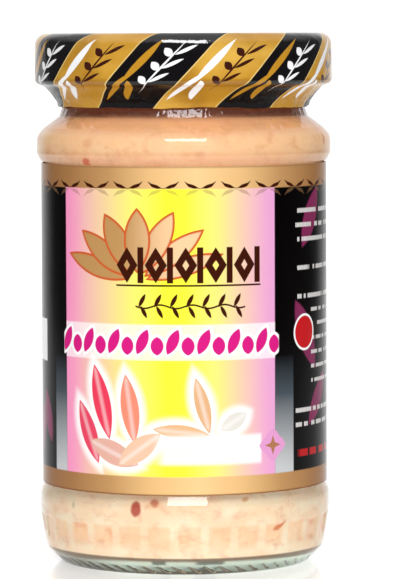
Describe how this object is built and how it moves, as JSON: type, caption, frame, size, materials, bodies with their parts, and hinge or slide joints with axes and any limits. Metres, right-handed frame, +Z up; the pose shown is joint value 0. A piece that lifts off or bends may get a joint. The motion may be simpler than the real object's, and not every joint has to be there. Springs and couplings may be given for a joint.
{
  "type": "jar of crushed galangal",
  "caption": "Round glass jar with a fluted heel and wrap-round label, filled with crushed galangal; its twist-off lid turns on the thread under a shrink sleeve.",
  "frame": {"origin": "centre of the foot, on the surface that the jar stands on", "axes": "+Z up along the jar's axis; the label's front faces -Y"},
  "size_m": [0.0512, 0.0512, 0.0911],
  "materials": {
    "jar_glass": "clear flint glass with a faint green edge, fire-polished",
    "paste_flesh": "moist crushed root, peach with darker flecks",
    "label_print": "printed label with a film gloss: gold bands, peach and yellow panel, black side panels",
    "lid_tin": "gold lacquered tinplate",
    "gasket_compound": "off-white sealing compound",
    "sleeve_film": "glossy shrink film printed with slanted gold and black stripes"
  },
  "bodies": {
    "jar": {"glass_jar": "jar_glass", "galangal_paste": "paste_flesh", "paper_label": "label_print"},
    "lid": {"lid_shell": "lid_tin", "lid_gasket": "gasket_compound", "shrink_sleeve": "sleeve_film"}
  },
  "joints": [
    {"name": "lid_turn", "type": "hinge", "parent": "jar", "child": "lid", "pos_m": [0, 0, 0.0825], "axis": [0, 0, 1], "range_deg": [0, 67]}
  ]
}
